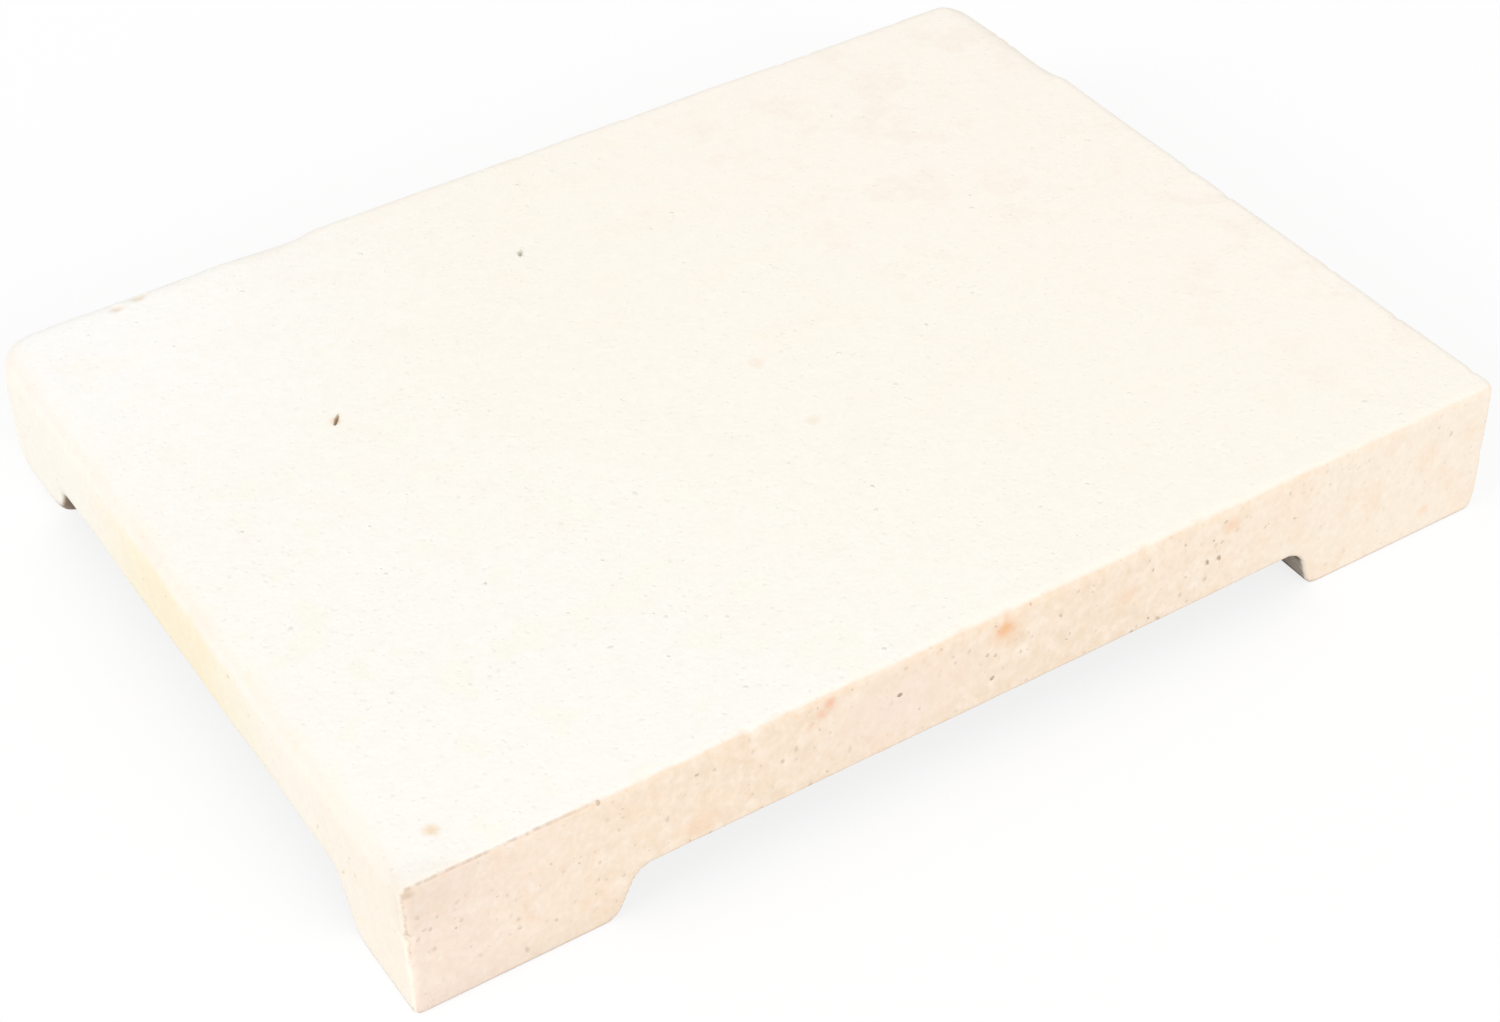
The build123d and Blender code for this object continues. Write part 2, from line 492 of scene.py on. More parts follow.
def edge_points(random, count):
    """Places picked evenly along the edges round the work face and down the slab's upright corners."""
    places = []
    shares = random.random(count)
    picks = random.random(count)
    corners = random.integers(0, 2, (count, 2))
    for share, pick, corner in zip(shares, picks, corners):
        spot = LOW + (HIGH - LOW) * share
        side, end = ((LOW, HIGH)[choice] for choice in corner)
        if pick < LONG_EDGE_NICKS:
            places.append((spot[0], side[1], HIGH[2]))
        elif pick < TOP_EDGE_NICKS:
            places.append((side[0], spot[1], HIGH[2]))
        else:
            places.append((side[0], end[1], spot[2]))
    return places


def nick_edges(points, normals, slab):
    """Presses the chips and the small nicks into the edges."""
    random = np.random.default_rng(slab.seed)
    dents = [(np.array(middle) * MM, radius * MM, depth * MM) for _, middle, radius, depth in CHIPS]
    for place in edge_points(random, slab.nicks):
        size = random.uniform(SMALLEST_NICK, 1.0)
        dents.append((np.array(place), size * slab.nick_radius, size * slab.nick_depth))
    for middle, radius, depth in dents:
        distance = np.linalg.norm(points - middle, axis=1)
        nearest = distance.argmin()
        press = bump_shape(np.linalg.norm(points - points[nearest], axis=1), radius)
        points = points - depth * press[:, None] * normals[nearest]
    return points


def divide_round_pits(mesh, cuts):
    """Divides the grid finely round each pit, so that the pit has a shape of its own."""
    fine = bmesh.new()
    fine.from_mesh(mesh)
    for _, (x, y), _, half_length, _, _, _ in PITS:
        middle = Vector((x * MM, y * MM, HIGH[2]))
        reach = PIT_GRID_REACH * half_length * MM
        near = {vertex for vertex in fine.verts if (vertex.co - middle).length < reach}
        edges = [edge for edge in fine.edges if edge.verts[0] in near and edge.verts[1] in near]
        bmesh.ops.subdivide_edges(fine, edges=edges, cuts=cuts, use_grid_fill=True)
    fine.to_mesh(mesh)
    fine.free()


def press_pits(points):
    """Presses the pits into the work face, each an uneven oval."""
    for _, (x, y), half_width, half_length, turn, depth, _ in PITS:
        offset = points - (x * MM, y * MM, HIGH[2])
        near = np.linalg.norm(offset, axis=1) < PIT_PRESS_REACH * half_length * MM
        along = np.array((math.cos(math.radians(turn)), math.sin(math.radians(turn))))
        across = np.array((-along[1], along[0]))
        flat = offset[near, :2] / MM
        oval = np.hypot(flat @ along / half_length, flat @ across / half_width)
        oval = oval + PIT_RIM_SHARE * (ripples(points[near], PIT_RIM_LENGTH, turn) - 0.5)
        points[near, 2] -= depth * MM * np.clip(1 - np.clip(oval, 0, None) ** PIT_ROUNDNESS, 0, 1)
    return points


def thinned(piece, triangles):
    """The piece's mesh, thinned where it is flat."""
    piece.data.calc_loop_triangles()
    thin = piece.modifiers.new("thin", "DECIMATE")
    thin.ratio = min(1.0, triangles / len(piece.data.loop_triangles))
    mesh = settled_mesh(piece)
    piece.modifiers.remove(thin)
    return mesh


def flatten_soles(mesh):
    """Shades the soles flat, so that their rounded edges don't show on them."""
    for polygon in mesh.polygons:
        if polygon.center.z < SOLE_DEPTH and polygon.normal.z < SOLE_TURN:
            polygon.use_smooth = False


def worn_slab(slab):
    """The slab with rubbed edges, waves, nicks and pits."""
    mesh = even_grid(slab.grid)
    points = read_vectors(mesh.vertices, "co")
    links = np.empty(len(mesh.edges) * 2, np.int32)
    mesh.edges.foreach_get("vertices", links)
    points = rub_edges(points, links.reshape(-1, 2), slab)
    write_points(mesh, points)

    normals = read_vectors(mesh.vertex_normals, "vector")
    wear = slab.wave_height * (ripples(points, slab.wave_length, WAVE_SHIFT) - 0.5)
    wear = wear + slab.ripple_height * (ripples(points, slab.ripple_length, RIPPLE_SHIFT) - 0.5)
    sole = np.clip(-SOLE_SHARPNESS * normals[:, 2], 0, 1) * np.clip(1 - points[:, 2] / SOLE_DEPTH, 0, 1)
    points = points - (wear * (1 - sole))[:, None] * normals
    write_points(mesh, nick_edges(points, normals, slab))

    divide_round_pits(mesh, slab.pit_cuts)
    write_points(mesh, press_pits(read_vectors(mesh.vertices, "co")))
    return mesh


# Helpers for node trees

def add_node(tree, kind, inputs=None, **settings):
    """A new node with its settings. Each input, by name or number, is linked to a socket or set."""
    node = tree.nodes.new(kind)
    for name, value in settings.items():
        setattr(node, name, value)
    for key, value in (inputs or {}).items():
        if isinstance(value, bpy.types.NodeSocket):
            tree.links.new(value, node.inputs[key])
        else:
            node.inputs[key].default_value = value
    return node


def tree_of(*values):
    """The node tree that the sockets among the values belong to."""
    return next(value.id_data for value in values if isinstance(value, bpy.types.NodeSocket))


def calculate(operation, *values):
    """A sum, product or other calculation with numbers."""
    inputs = dict(enumerate(values))
    return add_node(tree_of(*values), "ShaderNodeMath", inputs, operation=operation).outputs[0]


def calculate_vector(operation, *values):
    """A sum, product or other calculation with vectors."""
    inputs = dict(enumerate(values))
    node = add_node(tree_of(*values), "ShaderNodeVectorMath", inputs, operation=operation)
    return node.outputs["Value" if operation in ("LENGTH", "DOT_PRODUCT") else "Vector"]


def parts_of(vector):
    """A vector's parts along X, Y and Z."""
    return add_node(vector.id_data, "ShaderNodeSeparateXYZ", {0: vector}).outputs


def smooth_step(value, start, end, low=0.0, high=1.0):
    """Low before start, high after end, and smooth between."""
    inputs = {"Value": value, "From Min": start, "From Max": end, "To Min": low, "To Max": high}
    node = add_node(value.id_data, "ShaderNodeMapRange", inputs, interpolation_type="SMOOTHSTEP")
    return node.outputs["Result"]


def mix_colours(share, first, second, blend="MIX"):
    """The first colour with a share of the second over it."""
    inputs = {0: share}
    for number, colour in ((6, first), (7, second)):
        inputs[number] = colour if isinstance(colour, bpy.types.NodeSocket) else (*colour, 1.0)
    tree = tree_of(*inputs.values())
    return add_node(tree, "ShaderNodeMix", inputs, data_type="RGBA", blend_type=blend).outputs[2]


def layered(colour, *layers):
    """The colour with layers over it, each a share and a colour."""
    for share, layer_colour in layers:
        colour = mix_colours(share, colour, layer_colour)
    return colour


def product(*factors):
    """All the factors multiplied."""
    share = factors[0]
    for factor in factors[1:]:
        share = calculate("MULTIPLY", share, factor)
    return share


def between(share, low, high):
    """Low where the share is 0, high where it is 1, and even between."""
    return calculate("MULTIPLY_ADD", share, high - low, low)


def distance_along(place, middle):
    """How far a place along an axis lies from the middle."""
    return calculate("ABSOLUTE", calculate("SUBTRACT", place, middle))


def turned_against(facing):
    """How far a surface faces against an axis, and 0 if it faces along it."""
    return calculate("MAXIMUM", calculate("MULTIPLY", facing, -1.0), 0.0)


def new_group(name, kind, inputs, outputs):
    """An empty node group with named sockets, and its inner ends."""
    group = bpy.data.node_groups.new(name, kind)
    for label, socket_kind, default in inputs:
        socket = group.interface.new_socket(label, in_out="INPUT", socket_type="NodeSocket" + socket_kind)
        if default is not None:
            socket.default_value = default
    for label, socket_kind in outputs:
        group.interface.new_socket(label, in_out="OUTPUT", socket_type="NodeSocket" + socket_kind)
    return group, group.nodes.new("NodeGroupInput").outputs, group.nodes.new("NodeGroupOutput").inputs


def use_group(group, **inputs):
    """Places a group where its sockets are. Inputs go by the socket's name in small letters."""
    named = {name.capitalize(): value for name, value in inputs.items()}
    return add_node(tree_of(*inputs.values()), "ShaderNodeGroup", named, node_tree=group).outputs


# Effects that the clay and its grains share

def noise_at(position, length, detail=2.0):
    """Noise with features of about that length, in millimetres."""
    tree = position.id_data
    scale = add_node(tree, "ShaderNodeMath", {0: 1.0, 1: length}, operation="DIVIDE").outputs[0]
    inputs = {"Vector": position, "Scale": scale, "Detail": detail, "Roughness": NOISE_ROUGHNESS}
    return add_node(tree, "ShaderNodeTexNoise", inputs).outputs


def mottle_group():
    """Cloudy patches, as uneven firing leaves them."""
    sockets = [
        ("Position", "Vector", None), ("Length", "Float", 20.0),
        ("Start", "Float", 0.45), ("End", "Float", 0.7)]
    group, source, sink = new_group("Clay mottle", "ShaderNodeTree", sockets, [("Share", "Float")])
    cloud = noise_at(source["Position"], source["Length"], detail=3.0)
    patch = smooth_step(cloud[0], source["Start"], source["End"])
    group.links.new(patch, sink["Share"])
    return group


def fleck_group():
    """Small uneven flecks scattered through the clay."""
    sockets = [
        ("Position", "Vector", None), ("Spacing", "Float", 3.0),
        ("Radius", "Float", 0.4), ("Share", "Float", 0.5)]
    results = [("Mask", "Float"), ("Tone", "Float")]
    group, source, sink = new_group("Clay flecks", "ShaderNodeTree", sockets, results)
    rim_length = calculate("MULTIPLY", source["Radius"], FLECK_RIM_LENGTH)
    shake = noise_at(source["Position"], rim_length)
    shift = calculate_vector("SUBTRACT", shake[1], (0.5, 0.5, 0.5))
    reach = calculate("MULTIPLY", source["Radius"], FLECK_RIM_REACH)
    spread = add_node(group, "ShaderNodeVectorMath", {0: shift, "Scale": reach}, operation="SCALE").outputs[0]
    place = calculate_vector("ADD", source["Position"], spread)
    scale = calculate("DIVIDE", 1.0, source["Spacing"])
    cell = add_node(group, "ShaderNodeTexVoronoi", {"Vector": place, "Scale": scale})
    chance = add_node(group, "ShaderNodeSeparateColor", {0: cell.outputs["Color"]}).outputs
    distance = calculate("MULTIPLY", cell.outputs["Distance"], source["Spacing"])
    size = product(source["Radius"], between(chance[0], SMALLEST_FLECK, 1.0))
    core = calculate("MULTIPLY", size, FLECK_CORE)
    fleck = calculate("SUBTRACT", 1.0, smooth_step(distance, core, size))
    there = calculate("LESS_THAN", chance[1], source["Share"])
    group.links.new(calculate("MULTIPLY", fleck, there), sink["Mask"])
    group.links.new(chance[2], sink["Tone"])
    return group


def stain_group():
    """One soft stain with a frayed outline, turned about Z."""
    sockets = [
        ("Position", "Vector", None), ("Middle", "Vector", None), ("Reach", "Vector", (1.0, 1.0, 1.0)),
        ("Turn", "Float", 0.0), ("Fray", "Float", STAIN_FRAY_LENGTH), ("Strength", "Float", 1.0)]
    group, source, sink = new_group("Clay stain", "ShaderNodeTree", sockets, [("Share", "Float")])
    offset = calculate_vector("SUBTRACT", source["Position"], source["Middle"])
    back = calculate("MULTIPLY", source["Turn"], -1.0)
    inputs = {"Vector": offset, "Angle": back}
    turned = add_node(group, "ShaderNodeVectorRotate", inputs, rotation_type="Z_AXIS")
    scaled = calculate_vector("DIVIDE", turned.outputs[0], source["Reach"])
    fray = noise_at(source["Position"], source["Fray"], detail=3.0)
    distance = calculate_vector("LENGTH", scaled)
    uneven = calculate("SUBTRACT", fray[0], 0.5)
    frayed = calculate("MULTIPLY_ADD", uneven, STAIN_FRAY, distance)
    share = calculate("SUBTRACT", 1.0, smooth_step(frayed, 0.0, 1.0))
    group.links.new(calculate("MULTIPLY", share, source["Strength"]), sink["Share"])
    return group


def group_once(name, build):
    """The node group of that name, built the first time that it is asked for."""
    return bpy.data.node_groups.get(name) or build()


def cloudy(position, length, start, end):
    """The share of a cloudy patch, with patches of about that length in millimetres."""
    mottle = group_once("Clay mottle", mottle_group)
    return use_group(mottle, position=position, length=length, start=start, end=end)["Share"]


def stained(position, middle, reach, strength, turn=0.0, fray=STAIN_FRAY_LENGTH):
    """The share of one stain."""
    stain = group_once("Clay stain", stain_group)
    stains = use_group(
        stain, position=position, middle=middle, reach=reach, turn=turn, fray=fray, strength=strength)
    return stains["Share"]


def tinted(colour, swing, parts):
    """The colour made lighter or darker by a swing round 0, with a part for red, green and blue each."""
    levels = [calculate("MULTIPLY_ADD", swing, part, 1.0) for part in parts]
    shade = add_node(swing.id_data, "ShaderNodeCombineColor", dict(enumerate(levels))).outputs[0]
    return mix_colours(1.0, colour, shade, "MULTIPLY")


# Fired clay

def clay_places(position, normal):
    """Where on the block a point of the clay lies, and which of its faces and edges it belongs to."""
    facing = parts_of(normal)
    place = parts_of(position)

    # The work face's paler colour, painted light, runs over the left edge, furthest at one place along it
    from_run = distance_along(place["Y"], PALE_RUN_MIDDLE)
    run = smooth_step(from_run, *PALE_RUN)
    reached = calculate("MULTIPLY_ADD", turned_against(facing["X"]), run, facing["Z"])
    uneven = calculate("SUBTRACT", noise_at(position, PALE_FRAY_LENGTH)[0], 0.5)
    frayed = calculate("MULTIPLY_ADD", uneven, PALE_FRAY, reached)
    to_sides = calculate("ABSOLUTE", facing["Y"])
    to_left = calculate("ADD", facing["X"], to_sides)

    # How far inside the outer faces the point lies
    from_middle = calculate_vector("ABSOLUTE", position)
    inward = calculate_vector("SUBTRACT", tuple(HIGH / MM), from_middle)
    margins = parts_of(inward)

    # An edge faces none of the axes
    parts = parts_of(calculate_vector("ABSOLUTE", normal))
    flattest = calculate("MAXIMUM", calculate("MAXIMUM", parts["X"], parts["Y"]), parts["Z"])
    edge = smooth_step(flattest, *EDGE_TURN)
    soft = [smooth_step(facing[axis], *turn) for axis, turn in SOFT_EDGE_TURNS.items()]
    sharp = calculate("SUBTRACT", 1.0, product(*soft))

    diagonal = calculate_vector("DOT_PRODUCT", position, DIAGONAL)
    stretched = calculate_vector("MULTIPLY", position, UPRIGHT_STRETCH)
    return SimpleNamespace(
        position=position, place=place, facing=facing,
        work_face=smooth_step(frayed, *WORK_FACE_TURN),
        left_end=smooth_step(to_left, *LEFT_END_TURN),
        margin=calculate("MINIMUM", margins["X"], margins["Y"]),
        edge=edge, sharp_edge=calculate("MULTIPLY", edge, sharp),
        far_right=smooth_step(diagonal, *FAR_RIGHT),
        near_left=smooth_step(diagonal, *NEAR_LEFT),
        stretched=stretched, grain=noise_at(stretched, GRAIN_LENGTH, GRAIN_DETAIL)[0])


def work_face_colour(clay, colours):
    """The work face, painted paler than the sides as painted light: pale at the near left, rosy at the far
    right, and white where it is worn.
    """
    rosy = product(cloudy(clay.position, *ROSY_PATCH), between(clay.far_right, *ROSY_SHARES))
    yellow = product(cloudy(clay.position, *YELLOW_PATCH), clay.near_left, YELLOW_SHARE)
    return layered(
        colours.work_face, (clay.near_left, colours.work_face_pale), (clay.far_right, colours.work_face_rosy),
        (stained(clay.position, *WORN_CORNER), colours.worn_white),
        (rosy, colours.pink), (yellow, colours.yellow))


def flank_shade_share(clay):
    """Painted shade on the flanks of the channels, where the block shades them, which fades towards the
    middle of the block.
    """
    underside = smooth_step(clay.facing["Z"], *UNDERSIDE_TURN)
    behind_rim = smooth_step(clay.margin, *FLANK_SHADE_RIM)
    shaded_stretch = smooth_step(clay.place["X"], *FLANK_SHADE_STRETCH)
    deep = smooth_step(clay.margin, *FLANK_SHADE_DEPTH)
    channels = []
    for axis, middle, reach in zip("XY", CHANNEL_MIDDLE, CHANNEL_REACH):
        start, end = (reach + overlap for overlap in FLANK_SHADE_OVERLAP)
        channels.append(smooth_step(distance_along(clay.place[axis], middle), start, end))
    return product(underside, behind_rim, shaded_stretch, deep, calculate("MAXIMUM", *channels))


def side_colour(clay, colours):
    """Buff sides: dull at the near corner, painted paler to the right and on the left end as painted light,
    mottled, with a yellow tint in the middle of the left end, and painted shade on the flanks underneath.
    """
    place = clay.place
    patches = [
        (product(cloudy(clay.position, *patch), strength), getattr(colours, name))
        for patch, strength, name in SIDE_PATCHES]
    low = [smooth_step(place[axis], *stretch) for axis, stretch in LOW_GRIME.items()]
    from_middle = calculate("ABSOLUTE", place["Y"])
    # The left end, painted paler than the other sides as painted light, with a yellow tint in its middle
    left_end = layered(
        colours.left_end, (smooth_step(from_middle, *MIDDLE_TINT), colours.tint),
        (smooth_step(place["Y"], *NEAR_END), colours.pale_side))
    return layered(
        colours.side, (smooth_step(place["X"], *DULL), colours.dull_side),
        (smooth_step(place["X"], *PALE), colours.pale_side), *patches,
        (product(*low, LOW_GRIME_SHARE), colours.grime),
        # The last layer is painted shade on the flanks underneath, where the block shades them
        (clay.left_end, left_end), (flank_shade_share(clay), colours.flank_shade))


def edged_colour(clay, colour, colours):
    """The colour with a ragged brown line at the near corner over painted shade that is even along all edges,
    and painted shade on the rounded top edges that face the left and the front, which takes out their
    highlight.
    """
    place = clay.place
    corner = [smooth_step(place[axis], *stretch) for axis, stretch in NEAR_CORNER.items()]
    ragged = between(cloudy(clay.position, *RAGGED_PATCH), *RAGGED_SHARES)
    # A ragged brown line of real marks at the near corner, over painted shade that is even along all edges
    line = calculate("MULTIPLY_ADD", product(clay.sharp_edge, *corner), ragged, EDGE_SHADE_SHARE)
    colour = mix_colours(product(clay.edge, line), colour, colours.speck)
    # Painted shade on the rounded top edges that face the left and the front, which takes out their highlight
    upward = calculate("MAXIMUM", clay.facing["Z"], 0.0)
    for axis, amount in LIT_EDGE_SHADE.items():
        rubbed = product(turned_against(clay.facing[axis]), upward)
        colour = tinted(colour, rubbed, [-amount * part for part in LIT_EDGE_SHADE_TINT])
    return colour


def flecked_colour(clay, colour, colours):
    """The colour with fine grain, blotches and flecks, and the height of the pores."""
    smooth_end = smooth_step(clay.place["X"], *SMOOTH_END)
    coarse = product(smooth_end, between(clay.left_end, *LEFT_END_GRAIN))
    on_side = product(calculate("SUBTRACT", 1.0, clay.work_face), coarse)
    from_middle = distance_along(clay.place["X"], BLOTCHED_MIDDLE)
    in_middle = smooth_step(from_middle, *BLOTCHED)
    clump = noise_at(clay.stretched, CLUMP_LENGTH)[0]
    clouds = ((clay.grain, *GRAIN_SHARES), (clump, CLUMP_SHARE, between(in_middle, *BLOTCHED_SHARES)))
    for cloud, plain, extra in clouds:
        depth = calculate("MULTIPLY_ADD", on_side, extra, plain)
        swing = product(calculate("SUBTRACT", cloud, CLOUD_MIDDLE), depth)
        colour = tinted(colour, swing, CLOUD_TINT)

    gathered = between(cloudy(clay.position, *GATHERED_PATCH), *GATHERED_SHARES)
    work_face_flecks = between(clay.near_left, *WORK_FACE_FLECKS)
    lost = calculate("SUBTRACT", work_face_flecks, 1.0)
    kept = calculate("MULTIPLY_ADD", clay.work_face, lost, 1.0)
    crowded = between(product(in_middle, on_side), *CROWDED_SHARES)
    amount = product(gathered, kept, coarse, crowded)
    flecks = group_once("Clay flecks", fleck_group)
    pores = clay.grain
    for spacing, radius, share, strength in FLECK_LAYERS:
        layer = use_group(flecks, position=clay.stretched, spacing=spacing, radius=radius, share=share)
        specks = product(layer["Mask"], layer["Tone"], amount, strength)
        colour = mix_colours(specks, colour, colours.speck)
        pores = calculate("MULTIPLY_ADD", layer["Mask"], -PORE_DEPTH, pores)
    return colour, pores


def stained_colour(clay, colour):
    """The colour with the stains and the burnt pits over it."""
    layers = [(stained(clay.position, *stain), stain_colour) for _, *stain, stain_colour in STAINS]
    for _, (x, y), half_width, half_length, turn, _, pit_colour in PITS:
        middle = (x, y, HIGH[2] / MM - BURN_DEPTH)
        reach = (BURN_REACH * half_length, BURN_REACH * half_width, BURN_HEIGHT)
        burnt = stained(clay.position, middle, reach, 1.0, math.radians(turn), BURN_FRAY_LENGTH)
        layers.append((smooth_step(burnt, *BURN_SHARES), pit_colour))
    return layered(colour, *layers)


# Materials

def new_material(name):
    """A matt material with only its shader, its tree and a position in millimetres on its own surface."""
    material = bpy.data.materials.new(name)
    material.use_nodes = True
    tree = material.node_tree
    tree.nodes.clear()
    shader = add_node(tree, "ShaderNodeBsdfPrincipled", {"Specular IOR Level": SHEEN})
    add_node(tree, "ShaderNodeOutputMaterial", {"Surface": shader.outputs[0]})
    coordinates = add_node(tree, "ShaderNodeTexCoord").outputs
    position = calculate_vector("MULTIPLY", coordinates["Object"], (1 / MM,) * 3)
    return material, tree, shader, position, coordinates["Normal"]


def clay_material(colours):
    """Matt fired clay: a work face painted paler than the buff sides as painted light, painted shade on the
    flanks underneath and on the rounded edges, mottling, flecks, stains and fine pores.
    """
    material, tree, shader, position, normal = new_material("fired_clay")
    clay = clay_places(position, normal)
    side = side_colour(clay, colours)
    # Painted light: the work face takes the paler colours
    colour = mix_colours(clay.work_face, side, work_face_colour(clay, colours))
    colour = edged_colour(clay, colour, colours)
    colour, pores = flecked_colour(clay, colour, colours)
    tree.links.new(stained_colour(clay, colour), shader.inputs["Base Color"])

    bump = add_node(tree, "ShaderNodeBump", {
        "Strength": PORE_STRENGTH, "Distance": PORE_HEIGHT, "Height": pores})
    tree.links.new(bump.outputs[0], shader.inputs["Normal"])
    rough = add_node(tree, "ShaderNodeMapRange", {
        "Value": clay.grain, "From Min": GRAIN_RANGE[0], "From Max": GRAIN_RANGE[1],
        "To Min": CLAY_ROUGHNESS[0], "To Max": CLAY_ROUGHNESS[1]}).outputs["Result"]
    tree.links.new(rough, shader.inputs["Roughness"])
    return material


def grain_material(colours):
    """Burnt grains, from pale to nearly black."""
    material, tree, shader, position, _ = new_material("burnt_grain")
    tone = add_node(tree, "ShaderNodeAttribute", attribute_name="tone").outputs["Fac"]
    on_top = add_node(tree, "ShaderNodeAttribute", attribute_name="on_top").outputs["Fac"]
    cloud = cloudy(position, *GRAIN_PATCH)
    pale = mix_colours(on_top, colours.pale_grain, colours.pale_ash)
    dark = mix_colours(on_top, colours.dark_grain, colours.dark_ash)
    colour = mix_colours(tone, pale, dark)
    colour = mix_colours(product(cloud, GRAIN_CLOUD), colour, pale)
    tree.links.new(colour, shader.inputs["Base Color"])
    tree.links.new(between(cloud, *GRAIN_ROUGHNESS), shader.inputs["Roughness"])
    return material


# Grains

def grain_tree():
    """Scatters flat grains over a surface, more of them on its sides than on its top, none underneath."""
    sockets = [
        ("Geometry", "Geometry", None), ("Work face density", "Float", 1.0), ("Side density", "Float", 1.0),
        ("Smallest", "Float", 0.1), ("Largest", "Float", 0.2), ("Thickness", "Float", 0.2),
        ("Seed", "Int", 0), ("Material", "Material", None)]
    results = [("Geometry", "Geometry")]
    tree, source, sink = new_group("Scattered grains", "GeometryNodeTree", sockets, results)
    normal = add_node(tree, "GeometryNodeInputNormal").outputs[0]
    upward = parts_of(normal)["Z"]
    on_top = calculate("GREATER_THAN", upward, TOP_TURN)
    not_under = calculate("GREATER_THAN", upward, UNDER_TURN)
    extra = calculate("SUBTRACT", source["Work face density"], source["Side density"])
    density = calculate("MULTIPLY_ADD", on_top, extra, source["Side density"])
    density = calculate("MULTIPLY", density, not_under)
    scatter = add_node(tree, "GeometryNodeDistributePointsOnFaces", {
        "Mesh": source["Geometry"], "Density": density, "Seed": source["Seed"]}, distribute_method="RANDOM")

    def chance(offset, low=0.0, high=1.0):
        seed = calculate("ADD", source["Seed"], float(offset))
        node = add_node(tree, "FunctionNodeRandomValue", {2: low, 3: high, "Seed": seed}, data_type="FLOAT")
        return node.outputs[1]

    spread = calculate("SUBTRACT", source["Largest"], source["Smallest"])
    seat = parts_of(scatter.outputs["Normal"])["Z"]
    seated_on_top = calculate("GREATER_THAN", seat, TOP_TURN)
    growth = calculate("POWER", chance(1), SIZE_SPREAD)
    size = calculate("MULTIPLY_ADD", growth, spread, source["Smallest"])
    size = product(size, between(seated_on_top, *TOP_GRAIN_SIZES))
    length = calculate("MULTIPLY", size, chance(2, *GRAIN_LENGTHS))
    depth = calculate("MULTIPLY", size, source["Thickness"])
    scale = add_node(tree, "ShaderNodeCombineXYZ", {0: length, 1: size, 2: depth}).outputs[0]
    spin = add_node(tree, "FunctionNodeAxisAngleToRotation", {
        "Axis": (0, 0, 1), "Angle": chance(3, 0.0, math.tau)})
    turned = add_node(tree, "FunctionNodeRotateRotation", {
        0: scatter.outputs["Rotation"], 1: spin.outputs[0]}, rotation_space="LOCAL")
    grain = add_node(tree, "GeometryNodeMeshIcoSphere", {"Radius": 1.0, "Subdivisions": 1})
    grains = add_node(tree, "GeometryNodeInstanceOnPoints", {
        "Points": scatter.outputs["Points"], "Instance": grain.outputs["Mesh"],
        "Rotation": turned.outputs[0], "Scale": scale})
    darkest = between(seated_on_top, *DARKEST_TONES)
    tone = calculate("MULTIPLY", calculate("POWER", chance(4), TONE_SPREAD), darkest)
    toned = grains.outputs[0]
    for name, value in (("tone", tone), ("on_top", seated_on_top)):
        toned = add_node(tree, "GeometryNodeStoreNamedAttribute", {
            "Geometry": toned, "Name": name, "Value": value}, data_type="FLOAT", domain="INSTANCE").outputs[0]
    real = add_node(tree, "GeometryNodeRealizeInstances", {"Geometry": toned})
    dressed = add_node(tree, "GeometryNodeSetMaterial", {
        "Geometry": real.outputs[0], "Material": source["Material"]})
    tree.links.new(dressed.outputs[0], sink["Geometry"])
    return tree


def scattered_grains(slab_piece, sizes, material):
    """The grains scattered over the slab, as one plain mesh."""
    tree = grain_tree()
    draft = new_piece("grain_draft", slab_piece.data.copy())
    modifier = draft.modifiers.new("grains", "NODES")
    modifier.node_group = tree
    values = {
        "Work face density": sizes.work_face_density, "Side density": sizes.side_density,
        "Smallest": sizes.smallest, "Largest": sizes.largest, "Thickness": sizes.thickness,
        "Seed": sizes.seed, "Material": material}
    for item in tree.interface.items_tree:
        if item.in_out == "INPUT" and item.name in values:
            modifier[item.identifier] = values[item.name]
    mesh = settled_mesh(draft)
    bpy.data.objects.remove(draft)
    return mesh


def noted_grain_mesh(slab_piece, thickness):
    """The grains that stand out, each seated on the slab where it is noted."""
    slab_surface = BVHTree.FromPolygons(
        [vertex.co for vertex in slab_piece.data.vertices],
        [polygon.vertices for polygon in slab_piece.data.polygons])
    grains = bmesh.new()
    tone_layer = grains.verts.layers.float.new("tone")
    top_layer = grains.verts.layers.float.new("on_top")
    for number, (_, middle, length, width, tone) in enumerate(NOTED_GRAINS):
        seat, normal, _, _ = slab_surface.find_nearest(Vector(middle) * MM)
        spin = Matrix.Rotation(number * NOTED_GRAIN_TURN, 3, "Z").to_quaternion()
        turn = normal.to_track_quat("Z", "Y") @ spin
        scale = Vector((length, width, thickness * width)) * MM / 2
        made = bmesh.ops.create_icosphere(
            grains, subdivisions=2, radius=1.0, matrix=Matrix.LocRotScale(seat, turn, scale))
        for vertex in made["verts"]:
            vertex[tone_layer] = tone
            vertex[top_layer] = float(normal.z > TOP_TURN)
    mesh = bpy.data.meshes.new("noted_grains")
    grains.to_mesh(mesh)
    grains.free()
    return mesh


# Stage

def direction(azimuth, elevation):
    """From the block towards a place: azimuth 0 is at its front and grows towards +X."""
    flat = math.cos(elevation)
    return Vector((math.sin(azimuth) * flat, -math.cos(azimuth) * flat, math.sin(elevation)))


def make_camera(stage):
    """The camera at the photograph's viewing angle."""
    camera = bpy.data.objects.new("camera", bpy.data.cameras.new("camera"))
    bpy.context.scene.collection.objects.link(camera)
    camera.data.lens = stage.lens
    camera.data.clip_start = CLIP_START
    back = direction(stage.azimuth, stage.elevation)
    level = back.to_track_quat("Z", "Y")
    camera.rotation_mode = "QUATERNION"
    camera.rotation_quaternion = level @ Matrix.Rotation(stage.roll, 3, "Z").to_quaternion()
    camera.location = Vector(stage.aim) + back * stage.distance
    bpy.context.scene.camera = camera


